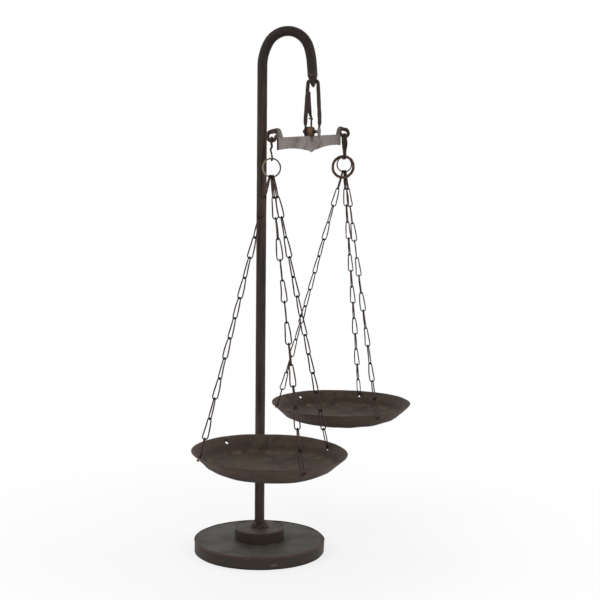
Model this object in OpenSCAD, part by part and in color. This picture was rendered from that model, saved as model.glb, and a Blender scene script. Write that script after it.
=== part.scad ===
// Hand-forged trade scale: a crook stand, a swan-neck beam and two pans on wire chains.
// Millimetres. Origin at the centre of the foot's underside, +Z up, +X from the pole to the
// hanging point, +Y along the beam. The left set hangs at -Y, the right set at +Y.

/* [Foot] */
// Diameter of the round foot
base_d = 200; // [190:1:210]
// Thickness of the round foot
base_t = 19; // [17:0.5:21]
// Diameter of the disc on the foot
hub_d = 76; // [70:1:82]
// Thickness of the disc on the foot
hub_t = 16; // [14:0.5:18]
// Diameter of the bead round the bar's foot
bead_d = 27; // [24:0.5:30]
// Height of the bead round the bar's foot
bead_h = 13; // [10:0.5:15]

/* [Crook] */
// Diameter of the bar
bar_d = 15; // [14.5:0.1:15.5]
// Height at which the bar starts to bend
pole_top = 736; // [732:1:740]
// Radius of the first bend
bend1_r = 66; // [64:0.5:68]
// Angle of the first bend
bend1_a = 31; // [30:0.5:32]
// Radius of the tight bend at the top
bend2_r = 33.8; // [33:0.1:34.6]
// Angle of the tight bend at the top
bend2_a = 130.5; // [129.5:0.5:131.5]
// Radius of the last bend
bend3_r = 102; // [98:1:106]
// Angle of the last bend
bend3_a = 14; // [13:0.5:15]
// Straight length between the last bend and the hole
drop = 24.5; // [23:0.5:26]
// Diameter of the hole in the bar's end
hole_d = 6.8; // [6.6:0.1:7]
// Diameter of the stud's head
stud_d = 6; // [5:0.5:7]

/* [Shackle] */
// Diameter of the shackle's wire
shackle_wire = 5.6; // [5.4:0.1:5.8]
// Height from the axle to the wire in the bar's hole
shackle_drop = 73.9; // [73:0.1:75]
// Outward lean of each leg
shackle_flare = 3; // [2.6:0.1:3.2]
// Diameter of the axle
axle_d = 5; // [4.6:0.1:5.2]

/* [Beam] */
// Distance from the fulcrum to each eye
arm = 188; // [186:1:190]
// Distance from each end of the beam's plate to the eye
neck_reach = 7; // [6:0.5:8]
// Thickness of the beam's plate
plate_t = 3; // [2.8:0.1:3.2]
// Angle at which the beam lies, right end up
beam_lie = 1.15; // [0.9:0.05:1.4]
// Wire diameter of the eyes
eye_wire = 5.4; // [5.2:0.1:5.6]
// Radius of the eyes to the middle of the wire
eye_r = 6.8; // [6.7:0.1:7]
// Sideways offset of each eye from the plate
eye_offset = 6; // [5.5:0.5:6.5]
// Length of the tongue above the knuckle
tongue_len = 51; // [48:1:54]

/* [Hooks and rings] */
// Height from the left eye's wire to the left ring's wire
left_hook_len = 23.6; // [23:0.1:25]
// Height from the right eye's wire to the right ring's wire
right_hook_len = 32; // [31.5:0.1:33]
// Wire diameter of the left hook
left_hook_wire = 3; // [2.8:0.1:3.1]
// Thickness of the right hook's strip
strip_t = 2.5; // [2.4:0.1:2.6]
// Width of the right hook's strip
strip_w = 4.6; // [4:0.1:4.8]
// Wire diameter of the two thin rings
ring_wire = 2.2; // [2:0.1:2.4]
// Outer diameter of the left ring
left_ring_d = 27; // [26:0.5:28]
// Outer diameter of the right ring
right_ring_d = 25.9; // [25.5:0.1:27]
// Outer diameter of the thick balance ring
balance_d = 37.3; // [36.5:0.1:38]
// Wire diameter of the thick balance ring
balance_wire = 4.5; // [4.2:0.1:4.6]
// Lean of the balance ring against the chains
balance_lean = 9; // [8.5:0.5:10]

/* [Pans] */
// Height of both pans' rims
rim_z = 201; // [199:1:203]
// Radius of the left pan's rim
left_rim_r = 108; // [106:0.5:110]
// Radius of the right pan's rim
right_rim_r = 113.5; // [111.5:0.5:115.5]
// Wall thickness of the left pan
left_wall = 1.375; // [1.2:0.001:1.6]
// Wall thickness of the right pan
right_wall = 1.2; // [1:0.001:1.4]
// Depth of the flared wall
flare_depth = 20.5; // [19.5:0.5:21.5]
// Depth of the whole pan
pan_depth = 27; // [26:0.5:28]
// Diameter of the chain holes
pan_hole_d = 5; // [4.9:0.1:5.2]
// Tilt of the left pan about +Y
left_pan_tilt = 1.2; // [0:0.1:1.5]

/* [Chains] */
// Number of links in each chain, the tail link included
links = 14; // [13:1:15]
// Diameter of the chain wire
chain_wire = 1.8; // [1.7:0.1:1.9]
// Middle radius of a link's narrow end
link_top_r = 2.4; // [2.3:0.1:2.6]
// Middle radius of a link's wide end
link_end_r = 4; // [3.6:0.1:4.2]

/* [Hidden] */
$fn = 48;

// Clearances between pieces
fit_gap = 0.1;
seat_gap = 0.2;
hang_gap = 0.32;

// Trim of a stretch of wire at a joint, half the joint's length and how far it stands out
joint_trim = 0.1;
joint_half = 0.25;
joint_over = 0.08;

// Small bevels turned on the discs
bevel = 1.5;
foot_bevel = 1;

// Place in X and Z reached by a bend of radius r through angle a, from heading h
function turned(p, h, r, a) = p + r * [cos(h) - cos(h + a), sin(h + a) - sin(h)];

// Crook, with headings measured from +Z towards +X
bar_r = bar_d / 2;
hub_top = base_t + hub_t;
heading = bend1_a + bend2_a + bend3_a;
after_bend1 = turned([0, pole_top], 0, bend1_r, bend1_a);
after_bend2 = turned(after_bend1, bend1_a, bend2_r, bend2_a);
after_bend3 = turned(after_bend2, bend1_a + bend2_a, bend3_r, bend3_a);
hole_at = after_bend3 + drop * [sin(heading), cos(heading)];
tongue_up = 12;
tongue_down = 10.4;
tongue_w = bar_d + 1;
tongue_in = 2;
tongue_step_z = -3.4;
tongue_root_half = 4.9;
tongue_step_half = 3.8;
tongue_tip_half = 2.6;
stud_rise = 8.1;
stud_head_h = 2.2;

// Points from which the shackle and the beam hang
hang_x = hole_at[0];
hang_z = hole_at[1] - (hole_d - shackle_wire) / 2 + hang_gap;
pivot_x = hang_x - 1.3;
pivot_z = hang_z - shackle_drop;

// Shackle
shoulder_r = 3.8;
shoulder_half = 3.4;
lug_t = 4.4;
lug_x = 10.3;
lug_w = 12;
lug_eye_d = 12.8;
lug_top = pivot_z + 7.8;
lug_low = pivot_z - 12.2;
lug_root = 1.5;
shackle_lean = atan((hang_x - pivot_x) / shackle_drop);
axle_half = lug_x + lug_t / 2 - 0.3;

// Beam, measured from the fulcrum
plate_half = arm - neck_reach;
plate_top = -6;
plate_end_low = -23.4;
plate_step_y = 27;
plate_step_z = -27;
plate_cusp_z = -30.4;
tab_half = 5;
knuckle_d = 15.2;
knuckle_left = -7.3;
knuckle_right = 4;
knuckle_edge = 1.5;
knuckle_end_d = 12.8;
eye_z = -3.6;
stem_r = 5.6;
neck_taper = 11;
neck_round = 4;
neck_tip_d = 2.4;
eye_sweep = 310;
eye_low_z = eye_z - eye_r;
tongue_d = 2.2;

// Places where the two sets hang
left_x = pivot_x - eye_offset;
right_x = pivot_x + eye_offset;
left_eye_z = pivot_z + eye_low_z * cos(beam_lie) - arm * sin(beam_lie);
right_eye_z = pivot_z + eye_low_z * cos(beam_lie) + arm * sin(beam_lie);
left_y = -arm * cos(beam_lie) - eye_low_z * sin(beam_lie);
right_y = arm * cos(beam_lie) - eye_low_z * sin(beam_lie);

// Left ring and hook
left_ring_r = (left_ring_d - ring_wire) / 2;
left_ring_top = left_eye_z - left_hook_len;
left_top_r = (eye_wire + left_hook_wire) / 2 + seat_gap;
left_low_r = (ring_wire + left_hook_wire) / 2 + seat_gap;

// Right rings and hook
right_ring_r = (right_ring_d - ring_wire) / 2;
right_ring_top = right_eye_z - right_hook_len;
strip_seat = 0.5;
strip_floor = right_ring_top - ring_wire / 2 - strip_seat;
strip_top_r = (eye_wire + strip_t) / 2 + 1.05;
strip_bend_r = 1.9 + strip_t / 2;
balance_bend_r = balance_wire / 2 + 0.65 + strip_t / 2;
balance_r = (balance_d - balance_wire) / 2;
balance_y = -5.4;
balance_top = strip_floor + balance_wire / 2 + strip_seat;

// Pans
dish_sag = 1.6;
hole_inset = 10.7;
hole_in = hole_inset * cos(45);
tail_half = (chain_wire + 0.4) / 2;
tail_rise = 0.85;
tail_start = 2.4;
tail_bend_r = 2;
tail_turn_r = 1.4;
tail_splay = 3.4;
knot_half = (chain_wire + seat_gap) / 2;
first_rise = (ring_wire + chain_wire) / 2 + seat_gap;
knot_step = 2.6;

// Angle of each chain's hole, and of the empty hole
angle_a = 214;
angle_b = 312;
angle_c = 50;
angle_d = 198;
angle_e = 86;
angle_f = 316;
empty_angle = 144;

function unit(v) = v / norm(v);

// Angle brought between -90 and 90, for a link looks the same after half a turn
function half_turn(a) = a - 180 * round(a / 180);

// Points of an arc from p to q that bulges by sag to the left of the way from p to q
function arc_points(p, q, sag, n) =
    let (half = norm(q - p) / 2, r = (half * half + sag * sag) / (2 * abs(sag)),
         dir = unit(q - p), left = [-dir[1], dir[0]] * sign(sag),
         mid = (p + q) / 2, centre = mid - left * (r - abs(sag)), sweep = asin(half / r))
    [for (i = [0:n]) let (a = -sweep + 2 * sweep * i / n)
        centre + left * r * cos(a) + dir * r * sin(a)];

// Sleeve that joins two stretches of a wire, a trace fatter than the wire
module sleeve(d) {
    cylinder(h = 2 * joint_half, d = d + 2 * joint_over, center = true, $fn = 32);
}

// Stretch of a bend, trimmed at both ends for the joints: starts at the origin going up Z
// and turns towards +X
module bend(r, a) {
    trim = joint_trim / r * 180 / PI;
    translate([r, 0, 0]) rotate([90, 0, 180]) rotate([0, 0, trim])
        rotate_extrude(angle = a - 2 * trim) translate([r, 0]) children();
}

module run(length) {
    translate([0, 0, joint_trim]) linear_extrude(length - 2 * joint_trim) children();
}

// Section carried along runs and bends: [length] or [radius, angle, roll before the bend].
// The second child is the joint between two stretches.
module bent(steps, joined = false) {
    if (joined) children(1);
    if (len(steps) > 0) {
        s = steps[0];
        rest = [for (i = [1:1:len(steps) - 1]) steps[i]];
        if (len(s) == 1) {
            run(s[0]) children(0);
            if (len(rest) > 0) translate([0, 0, s[0]]) bent(rest, true) {
                children(0);
                children(1);
            }
        } else {
            rotate([0, 0, s[2]]) {
                bend(s[0], s[1]) children(0);
                if (len(rest) > 0)
                    translate([s[0], 0, 0]) rotate([0, s[1], 0]) translate([-s[0], 0, 0])
                        bent(rest, true) {
                            children(0);
                            children(1);
                        }
            }
        }
    }
}

module ring(r, wire) {
    rotate([90, 0, 0]) rotate_extrude($fn = 96) translate([r, 0]) circle(d = wire, $fn = 32);
}

// Section turned about the upright axis of its plane, from angle a0 through sweep
module arc(r, a0, sweep) {
    trim = joint_trim / r * 180 / PI;
    rotate([0, 0, a0 + trim])
        rotate_extrude(angle = sweep - 2 * trim) translate([r, 0]) children();
}

module arc_yz(r, a0, sweep) {
    rotate([90, 0, 90]) arc(r, a0, sweep) children();
}

module base_disc() {
    color([0.27, 0.24, 0.21])
        rotate_extrude($fn = 128)
            polygon([[0, 0], [base_d / 2 - foot_bevel, 0], [base_d / 2, foot_bevel],
                [base_d / 2, base_t - bevel], [base_d / 2 - bevel, base_t], [0, base_t]]);
}

module hub_disc() {
    inner = bar_r + fit_gap;
    color([0.25, 0.22, 0.2])
        translate([0, 0, base_t]) rotate_extrude($fn = 96)
            polygon([[inner, 0], [hub_d / 2, 0], [hub_d / 2, hub_t - bevel],
                [hub_d / 2 - bevel, hub_t], [inner, hub_t]]);
}

module foot_weld() {
    inner = bar_r + fit_gap;
    lip = 0.8;
    hollow = 1.2;
    color([0.3, 0.22, 0.17])
        translate([0, 0, hub_top]) rotate_extrude($fn = 64)
            polygon(concat([[inner, 0]],
                arc_points([bead_d / 2, 0], [inner + lip, bead_h], hollow, 8),
                [[inner, bead_h]]));
}

// The bar's end, drawn down in X to a flat tongue and rounded in Y below the hole
module bar_tongue() {
    root_z = 2;
    cone_z = 4;
    top_x = bar_r + 2 * joint_over;
    wide = tongue_w + 2;
    low_y = tongue_w / 2 - tongue_down;
    intersection() {
        rotate([90, 0, 0]) linear_extrude(2 * wide, center = true)
            polygon([[-top_x, tongue_up], [-tongue_root_half, root_z],
                [-tongue_step_half, tongue_step_z], [-tongue_tip_half, -tongue_down],
                [tongue_tip_half, -tongue_down], [tongue_step_half, tongue_step_z],
                [tongue_root_half, root_z], [top_x, tongue_up]]);
        rotate([90, 0, 90]) linear_extrude(2 * wide, center = true) union() {
            translate([0, low_y]) circle(d = tongue_w, $fn = 64);
            translate([-tongue_w / 2, low_y]) square([tongue_w, tongue_up - low_y]);
        }
        union() {
            translate([0, 0, -wide]) cylinder(h = wide + cone_z, d = wide);
            translate([0, 0, cone_z])
                cylinder(h = tongue_up - cone_z, d1 = wide, d2 = bar_d + 2 * joint_over);
        }
    }
}

// Children drawn from the middle of the hole in the bar's end
module at_hole() {
    translate([hole_at[0], 0, hole_at[1]]) rotate([0, heading - 180, 0]) children();
}

module crook_rod() {
    color([0.2, 0.16, 0.14]) difference() {
        union() {
            translate([0, 0, base_t]) cylinder(h = 2 * joint_half, d = bar_d);
            translate([0, 0, base_t])
                bent([[pole_top - base_t], [bend1_r, bend1_a, 0], [bend2_r, bend2_a, 0],
                    [bend3_r, bend3_a, 0], [drop - tongue_up + tongue_in]]) {
                        circle(d = bar_d);
                        sleeve(bar_d);
                    }
            at_hole() bar_tongue();
        }
        translate([hole_at[0], 0, hole_at[1]]) rotate([0, 90, 0])
            cylinder(h = 2 * bar_d, d = hole_d, center = true);
        at_hole() translate([0, -bar_d, stud_rise]) rotate([-90, 0, 0])
            cylinder(h = bar_d, d = stud_d / 2 + 2 * fit_gap);
    }
}

module end_stud() {
    head_y = -tongue_w / 2;
    color([0.45, 0.27, 0.16]) at_hole() translate([0, head_y, stud_rise]) rotate([90, 0, 0]) {
        rotate_extrude($fn = 32)
            polygon(concat([[0, 0]], arc_points([stud_d / 2, 0], [0, stud_head_h], -0.9, 6)));
        rotate([180, 0, 0]) cylinder(h = -head_y - fit_gap, d = stud_d / 2);
    }
}

module lug(side) {
    translate([pivot_x + side * lug_x, 0, 0]) difference() {
        rotate([90, 0, 90]) linear_extrude(lug_t, center = true) union() {
            translate([0, pivot_z]) circle(d = lug_eye_d);
            translate([0, lug_low + lug_w / 2]) circle(d = lug_w);
            translate([-lug_w / 2, lug_low + lug_w / 2])
                square([lug_w, lug_top - lug_low - lug_w / 2]);
        }
        translate([0, 0, pivot_z]) rotate([0, 90, 0])
            cylinder(h = 2 * lug_t, d = axle_d + 2 * seat_gap, center = true);
    }
}

module shackle_leg() {
    leg = (hang_z - shoulder_r - lug_top + lug_root) / cos(shackle_flare);
    translate([shoulder_half, 0, 0]) rotate([0, 90, 0])
        bent([[shoulder_r, 90 - shackle_flare, 0], [leg]], true) {
            circle(d = shackle_wire, $fn = 32);
            sleeve(shackle_wire);
        }
}

module shackle() {
    color([0.33, 0.29, 0.26]) union() {
        translate([hang_x, 0, hang_z]) rotate([0, shackle_lean, 0]) {
            rotate([0, 90, 0]) cylinder(h = 2 * (shoulder_half - joint_trim),
                d = shackle_wire, center = true, $fn = 32);
            shackle_leg();
            mirror([1, 0, 0]) shackle_leg();
        }
        lug(-1);
        lug(1);
    }
}

// Children drawn from the fulcrum, with the beam lying at its angle
module at_beam() {
    translate([pivot_x, 0, pivot_z]) rotate([beam_lie, 0, 0]) children();
}

module fulcrum_axle() {
    color([0.36, 0.31, 0.27])
        at_beam() rotate([0, 90, 0]) cylinder(h = 2 * axle_half, d = axle_d, center = true);
}

module knuckle() {
    color([0.45, 0.33, 0.2]) at_beam() difference() {
        translate([knuckle_left, 0, 0]) rotate([0, 90, 0]) {
            cylinder(h = knuckle_edge, d1 = knuckle_end_d, d2 = knuckle_d);
            translate([0, 0, knuckle_edge])
                cylinder(h = knuckle_right - knuckle_left - 2 * knuckle_edge, d = knuckle_d);
            translate([0, 0, knuckle_right - knuckle_left - knuckle_edge])
                cylinder(h = knuckle_edge, d1 = knuckle_d, d2 = knuckle_end_d);
        }
        rotate([0, 90, 0])
            cylinder(h = 4 * knuckle_d, d = axle_d + 2 * fit_gap, center = true);
        translate([-plate_t / 2 - fit_gap, -knuckle_d, -knuckle_d])
            cube([plate_t + 2 * fit_gap, 2 * knuckle_d, knuckle_d + plate_top + fit_gap]);
        translate([-plate_t / 2 - fit_gap, -tab_half - fit_gap, -knuckle_d])
            cube([plate_t + 2 * fit_gap, 2 * (tab_half + fit_gap), knuckle_d + tab_half + fit_gap]);
        translate([0, 0, tab_half]) cylinder(h = knuckle_d, d = tongue_d + 4 * fit_gap);
    }
}

module tongue() {
    foot_z = tab_half + 2 * fit_gap;
    taper_z = knuckle_d / 2;
    barb_z = 19;
    barb_d = 1.6;
    tip_d = 0.8;
    root_d = tongue_d + 2 * seat_gap;
    color([0.3, 0.26, 0.22]) at_beam() rotate([0, -1, 0]) union() {
        translate([0, 0, foot_z]) cylinder(h = taper_z - foot_z, d = tongue_d, $fn = 24);
        translate([0, 0, taper_z]) cylinder(h = tongue_len, d1 = root_d, d2 = tip_d, $fn = 24);
        translate([1.5, 0, barb_z]) rotate([0, -94, 0]) cylinder(h = 6.4, d = barb_d, $fn = 24);
    }
}

function plate_low() =
    let (from = [plate_half, plate_end_low], step = [plate_step_y, plate_step_z])
    concat(arc_points(from, step, -2.6, 12), arc_points(step, [0, plate_cusp_z], -0.9, 6));

module beam_plate() {
    low = plate_low();
    other = [for (i = [len(low) - 2:-1:0]) [-low[i][0], low[i][1]]];
    top = [[-plate_half, plate_top], [-tab_half, plate_top], [-tab_half, 0]];
    top_back = [[tab_half, 0], [tab_half, plate_top], [plate_half, plate_top]];
    rotate([90, 0, 90]) linear_extrude(plate_t, center = true) difference() {
        union() {
            polygon(concat(low, other, top, top_back));
            circle(r = tab_half);
        }
        circle(d = axle_d + 2 * fit_gap);
    }
}

// The plate's end drawn to round bar, turned up and curled into an eye across the beam
module swan_neck() {
    stem_x = eye_offset - eye_r;
    stem_y = arm - stem_r;
    stem_z = eye_z - stem_r;
    round_y = plate_half - neck_round;
    taper_y = round_y - neck_taper;
    translate([stem_x, 0, stem_z]) {
        translate([0, taper_y, 0]) rotate([-90, 0, 0])
            cylinder(h = neck_taper, d1 = neck_tip_d, d2 = eye_wire, $fn = 32);
        translate([0, round_y, 0]) rotate([-90, 0, 0])
            cylinder(h = stem_y - round_y - joint_trim, d = eye_wire, $fn = 32);
        translate([0, stem_y, 0]) rotate([90, 0, 0]) sleeve(eye_wire);
        translate([0, stem_y, stem_r]) arc_yz(stem_r, -90, 90) circle(d = eye_wire, $fn = 32);
        translate([0, stem_y + stem_r, stem_r]) sleeve(eye_wire);
    }
    translate([eye_offset, arm, eye_z]) rotate([90, 0, 0]) mirror([1, 0, 0])
        arc(eye_r, 0, eye_sweep) circle(d = eye_wire, $fn = 32);
}

module beam() {
    color([0.42, 0.38, 0.34]) at_beam() union() {
        beam_plate();
        swan_neck();
        rotate([0, 0, 180]) swan_neck();
    }
}

// Children drawn at the two ends of the slanted run between a top and a low arc that stand a
// length apart, and the run itself
module slant(length, top_r, low_r) {
    lean = asin((top_r + low_r) / length);
    way = sqrt(length * length - pow(top_r + low_r, 2));
    translate([0, -top_r * cos(lean), -top_r * sin(lean)]) rotate([180 + lean, 0, 0]) {
        run(way) children(0);
        children(1);
        translate([0, 0, way]) children(1);
    }
}

module left_hook() {
    lean = asin((left_top_r + left_low_r) / left_hook_len);
    color([0.25, 0.18, 0.14]) translate([left_x, left_y, left_eye_z]) union() {
        arc_yz(left_top_r, -25, 205 + lean) circle(d = left_hook_wire, $fn = 32);
        slant(left_hook_len, left_top_r, left_low_r) {
            circle(d = left_hook_wire, $fn = 32);
            sleeve(left_hook_wire);
        }
        translate([0, 0, -left_hook_len]) arc_yz(left_low_r, -185, 185 + lean)
            circle(d = left_hook_wire, $fn = 32);
    }
}

module left_ring() {
    color([0.42, 0.34, 0.22])
        translate([left_x, left_y, left_ring_top - left_ring_r]) ring(left_ring_r, ring_wire);
}

// Block that joins two stretches of strip, a trace fatter than the strip
module strip_joint() {
    cube([strip_w + 2 * joint_over, strip_t + 2 * joint_over, 2 * joint_half], center = true);
}

// Flat strip bent like the left hook, with a level floor that carries two rings
module right_hook() {
    length = right_eye_z - strip_floor + strip_t / 2 - strip_bend_r;
    lean = asin((strip_top_r + strip_bend_r) / length);
    color([0.24, 0.17, 0.13]) translate([right_x, right_y, right_eye_z]) union() {
        arc_yz(strip_top_r, -15, 195 + lean) square([strip_t, strip_w], center = true);
        slant(length, strip_top_r, strip_bend_r) {
            square([strip_w, strip_t], center = true);
            strip_joint();
        }
        translate([0, 0, -length]) arc_yz(strip_bend_r, -90, 90 + lean)
            square([strip_t, strip_w], center = true);
        translate([0, 0, -length - strip_bend_r]) {
            rotate([90, 0, 0]) {
                strip_joint();
                run(-balance_y) square([strip_w, strip_t], center = true);
            }
            translate([0, balance_y, 0]) rotate([90, 0, 0]) strip_joint();
            translate([0, balance_y, balance_bend_r]) {
                arc_yz(balance_bend_r, -180, 90) square([strip_t, strip_w], center = true);
                translate([0, -balance_bend_r, 0]) {
                    strip_joint();
                    run(strip_t) square([strip_w, strip_t], center = true);
                }
            }
        }
    }
}

module right_ring() {
    color([0.27, 0.2, 0.16])
        translate([right_x, right_y, right_ring_top - right_ring_r])
            ring(right_ring_r, ring_wire);
}

module balance_ring() {
    color([0.24, 0.18, 0.15])
        translate([right_x, right_y + balance_y, balance_top]) rotate([-balance_lean, 0, 0])
            translate([0, 0, -balance_r]) ring(balance_r, balance_wire);
}

// Pan with its rim at the origin's height: flared wall, a crease and a shallow dish
module pan(rim_r, wall, angles) {
    crease = [rim_r - flare_depth, -flare_depth];
    dish = arc_points([0, -pan_depth], crease, -dish_sag, 8);
    lip = wall * cos(45);
    inner_crease = crease + wall * [-tan(22.5), 1];
    inner = [for (i = [len(dish) - 2:-1:0]) dish[i] + [0, wall]];
    difference() {
        rotate_extrude($fn = 128)
            polygon(concat(dish, [[rim_r, 0], [rim_r - lip, lip], inner_crease], inner));
        for (a = angles)
            rotate([0, 0, a]) translate([rim_r - hole_in, 0, -hole_in]) rotate([0, 135, 0])
                cylinder(h = 8 * wall, d = pan_hole_d, center = true);
    }
}

module at_left_pan() {
    translate([left_x, left_y, rim_z]) rotate([0, left_pan_tilt, 0]) children();
}

module left_pan() {
    color([0.28, 0.23, 0.19])
        at_left_pan() pan(left_rim_r, left_wall, [angle_a, angle_b, angle_c, empty_angle]);
}

module right_pan() {
    color([0.28, 0.23, 0.19]) translate([right_x, right_y, rim_z])
        pan(right_rim_r, right_wall, [angle_d, angle_e, angle_f, empty_angle]);
}

// Point turned by the left pan's tilt
function tilted(p, t) = [p[0] * cos(t) + p[2] * sin(t), p[1], -p[0] * sin(t) + p[2] * cos(t)];

// Outward normal of the flared wall at angle a, and the middle of the hole there
function wall_normal(a, t) = tilted([cos(a) * cos(45), sin(a) * cos(45), -sin(45)], t);
function wall_rise(a, t) = tilted([cos(a) * cos(45), sin(a) * cos(45), sin(45)], t);
function hole_point(rim_r, a, t) =
    tilted([(rim_r - hole_in) * cos(a), (rim_r - hole_in) * sin(a), -hole_in], t);

// Closed pear of wire in its own XZ plane, narrow end up, chain running towards +Z
module link(pitch, rise) {
    top_z = link_top_r - rise;
    end_z = pitch + knot_half - link_end_r;
    gap = end_z - top_z;
    lean = asin((link_end_r - link_top_r) / gap);
    rotate([90, 0, 0]) {
        translate([0, top_z, 0]) arc(link_top_r, 180 + lean, 180 - 2 * lean) circle(d = chain_wire);
        translate([0, end_z, 0]) arc(link_end_r, -lean, 180 + 2 * lean) circle(d = chain_wire);
    }
    for (side = [-1, 1])
        translate([side * link_top_r * cos(lean), 0, top_z - link_top_r * sin(lean)])
            rotate([0, side * lean, 0]) {
                run(gap * cos(lean)) circle(d = chain_wire);
                sleeve(chain_wire);
                translate([0, 0, gap * cos(lean)]) sleeve(chain_wire);
            }
}

// Half of the tail link: over the knot, down to the hole, through the wall and bent aside
module tail_leg(pitch, turn, roll, wall) {
    top_z = link_top_r - knot_half;
    turn_len = tail_bend_r * tan(turn / 2);
    across = tail_half + tail_bend_r;
    along = pitch - turn_len - top_z;
    sum_r = link_top_r + tail_bend_r;
    leg = sqrt(across * across + along * along - sum_r * sum_r);
    lean = atan2(along, across) - atan2(leg, sum_r);
    through = tail_start + (wall + chain_wire) / 2 + seat_gap - turn_len - tail_turn_r;
    translate([0, 0, -knot_half]) rotate([180, -90, 0])
        bent([[link_top_r, 90 + lean, 0], [leg], [tail_bend_r, lean, 180],
            [tail_bend_r, turn, roll], [through], [tail_turn_r, 90, -roll], [tail_splay]], true) {
                circle(d = chain_wire);
                sleeve(chain_wire);
            }
}

module tail_link(pitch, turn, roll, wall) {
    tail_leg(pitch, turn, roll, wall);
    mirror([1, 0, 0]) tail_leg(pitch, turn, roll, wall);
}

// Children set at p with their X along w and their Z along d
module place(p, d, w) {
    v = cross(d, w);
    multmatrix([[w[0], v[0], d[0], p[0]], [w[1], v[1], d[1], p[1]], [w[2], v[2], d[2], p[2]]])
        children();
}

// Chain of links from a ring to the hole at angle a. Each link is turned a quarter from the
// one above it and a few degrees more, so that the tail link comes square to the wall.
module chain(knot, centre, rim_r, wall, a, tilt) {
    normal = wall_normal(a, tilt);
    hole = centre + hole_point(rim_r, a, tilt) + tail_rise * wall_rise(a, tilt);
    end = hole - normal * (wall / 2 + tail_start);
    pitch = norm(end - knot) / links;
    d = unit(end - knot);
    w = unit(cross(d, cross([0, 1, 0], d)));
    v = cross(d, w);
    aside = unit(cross(d, normal));
    twist = half_turn(atan2(aside * v, aside * w) - 90 * (links - 1)) / (links - 1);
    for (i = [0:links - 1]) {
        spin = i * (90 + twist);
        wide = w * cos(spin) + v * sin(spin);
        place(knot + d * pitch * i, d, wide) union()
            if (i < links - 1) link(pitch, i == 0 ? first_rise : knot_half);
            else tail_link(pitch, acos(normal * d), 90 * sign(normal * cross(d, wide)), wall);
    }
}

function ring_knot(x, y, centre_z, r, step) = [x + step, y, centre_z - sqrt(r * r - step * step)];

module left_chain(a, step) {
    knot = ring_knot(left_x, left_y, left_ring_top - left_ring_r, left_ring_r, step);
    color([0.26, 0.2, 0.17])
        chain(knot, [left_x, left_y, rim_z], left_rim_r, left_wall, a, left_pan_tilt);
}

module right_chain(a, step) {
    knot = ring_knot(right_x, right_y, right_ring_top - right_ring_r, right_ring_r, step);
    color([0.26, 0.2, 0.17])
        chain(knot, [right_x, right_y, rim_z], right_rim_r, right_wall, a, 0);
}

module left_chain_a() { left_chain(angle_a, -knot_step); }
module left_chain_b() { left_chain(angle_b, 0); }
module left_chain_c() { left_chain(angle_c, knot_step); }
module right_chain_d() { right_chain(angle_d, -knot_step); }
module right_chain_e() { right_chain(angle_e, 0); }
module right_chain_f() { right_chain(angle_f, knot_step); }

base_disc();
hub_disc();
foot_weld();
crook_rod();
end_stud();
shackle();
fulcrum_axle();
knuckle();
tongue();
beam();
left_hook();
left_ring();
left_pan();
right_hook();
right_ring();
balance_ring();
right_pan();
left_chain_a();
left_chain_b();
left_chain_c();
right_chain_d();
right_chain_e();
right_chain_f();
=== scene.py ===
import bpy
import numpy as np
from mathutils import Matrix, Vector


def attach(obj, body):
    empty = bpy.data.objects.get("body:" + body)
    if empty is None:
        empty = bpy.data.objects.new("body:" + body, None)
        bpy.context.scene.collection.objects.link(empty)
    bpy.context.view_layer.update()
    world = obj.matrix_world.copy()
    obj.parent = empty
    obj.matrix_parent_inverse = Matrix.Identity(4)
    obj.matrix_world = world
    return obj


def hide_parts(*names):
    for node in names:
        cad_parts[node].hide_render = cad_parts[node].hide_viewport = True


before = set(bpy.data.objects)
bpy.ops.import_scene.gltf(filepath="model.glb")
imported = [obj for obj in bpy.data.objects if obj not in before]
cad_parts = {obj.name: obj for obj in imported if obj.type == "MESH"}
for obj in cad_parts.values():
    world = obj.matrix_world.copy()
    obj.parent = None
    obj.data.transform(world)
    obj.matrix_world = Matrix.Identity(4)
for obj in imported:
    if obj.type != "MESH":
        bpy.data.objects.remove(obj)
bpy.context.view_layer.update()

# Shapes are worked out in millimetres, in the model's own frame, and put into metres at the end.
MM = 0.001
TURN = 2 * np.pi
X, Y, Z = np.eye(3)


def rad(degrees):
    return np.radians(degrees)


def unit(v):
    return v / np.linalg.norm(v, axis=-1, keepdims=True)


def turned(points, axis, degrees):
    """Points turned about an axis through the origin: the usual rotation matrix times each point."""
    return points @ np.array(Matrix.Rotation(rad(degrees), 3, Vector(axis))).T


# Measures of the scale, in millimetres and degrees. R stands for a radius and T for a thickness.
FOOT_R, FOOT_T, FOOT_CROWN = 100, 19, 1.1
HUB_R, HUB_T = 38, 18.3
HUB_TOP = FOOT_T + HUB_T
BAR_R, POLE_TOP = 7.5, 736

# The crook: radius and angle of each bend, then the straight drop to the shackle's hole
BENDS, DROP, HOLE_R = ((66, 31), (33.8, 130.5), (102, 14)), 24.5, 3.4
FAR_ABOVE = 99.0

# The shackle: its wire, its play in the hole, and how far the fulcrum is below the hole and nearer the pole
SHACKLE_R, HANG_GAP, SHACKLE_DROP, SHACKLE_SHIFT = 2.8, 0.32, 73.9, 1.3
AXLE_R, LUG_BORE_R = 2.48, 2.72

# The beam: fulcrum to hook, half of the plate's length, and the angle at which it lies
ARM, PLATE_HALF, LIE = 188, 181, 1.15
EYE_WIRE_R, EYE_R, EYE_CURL_R, EYE_OFFSET, EYE_Z = 2.7, 6.8, 6.0, 6, -3.6

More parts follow.
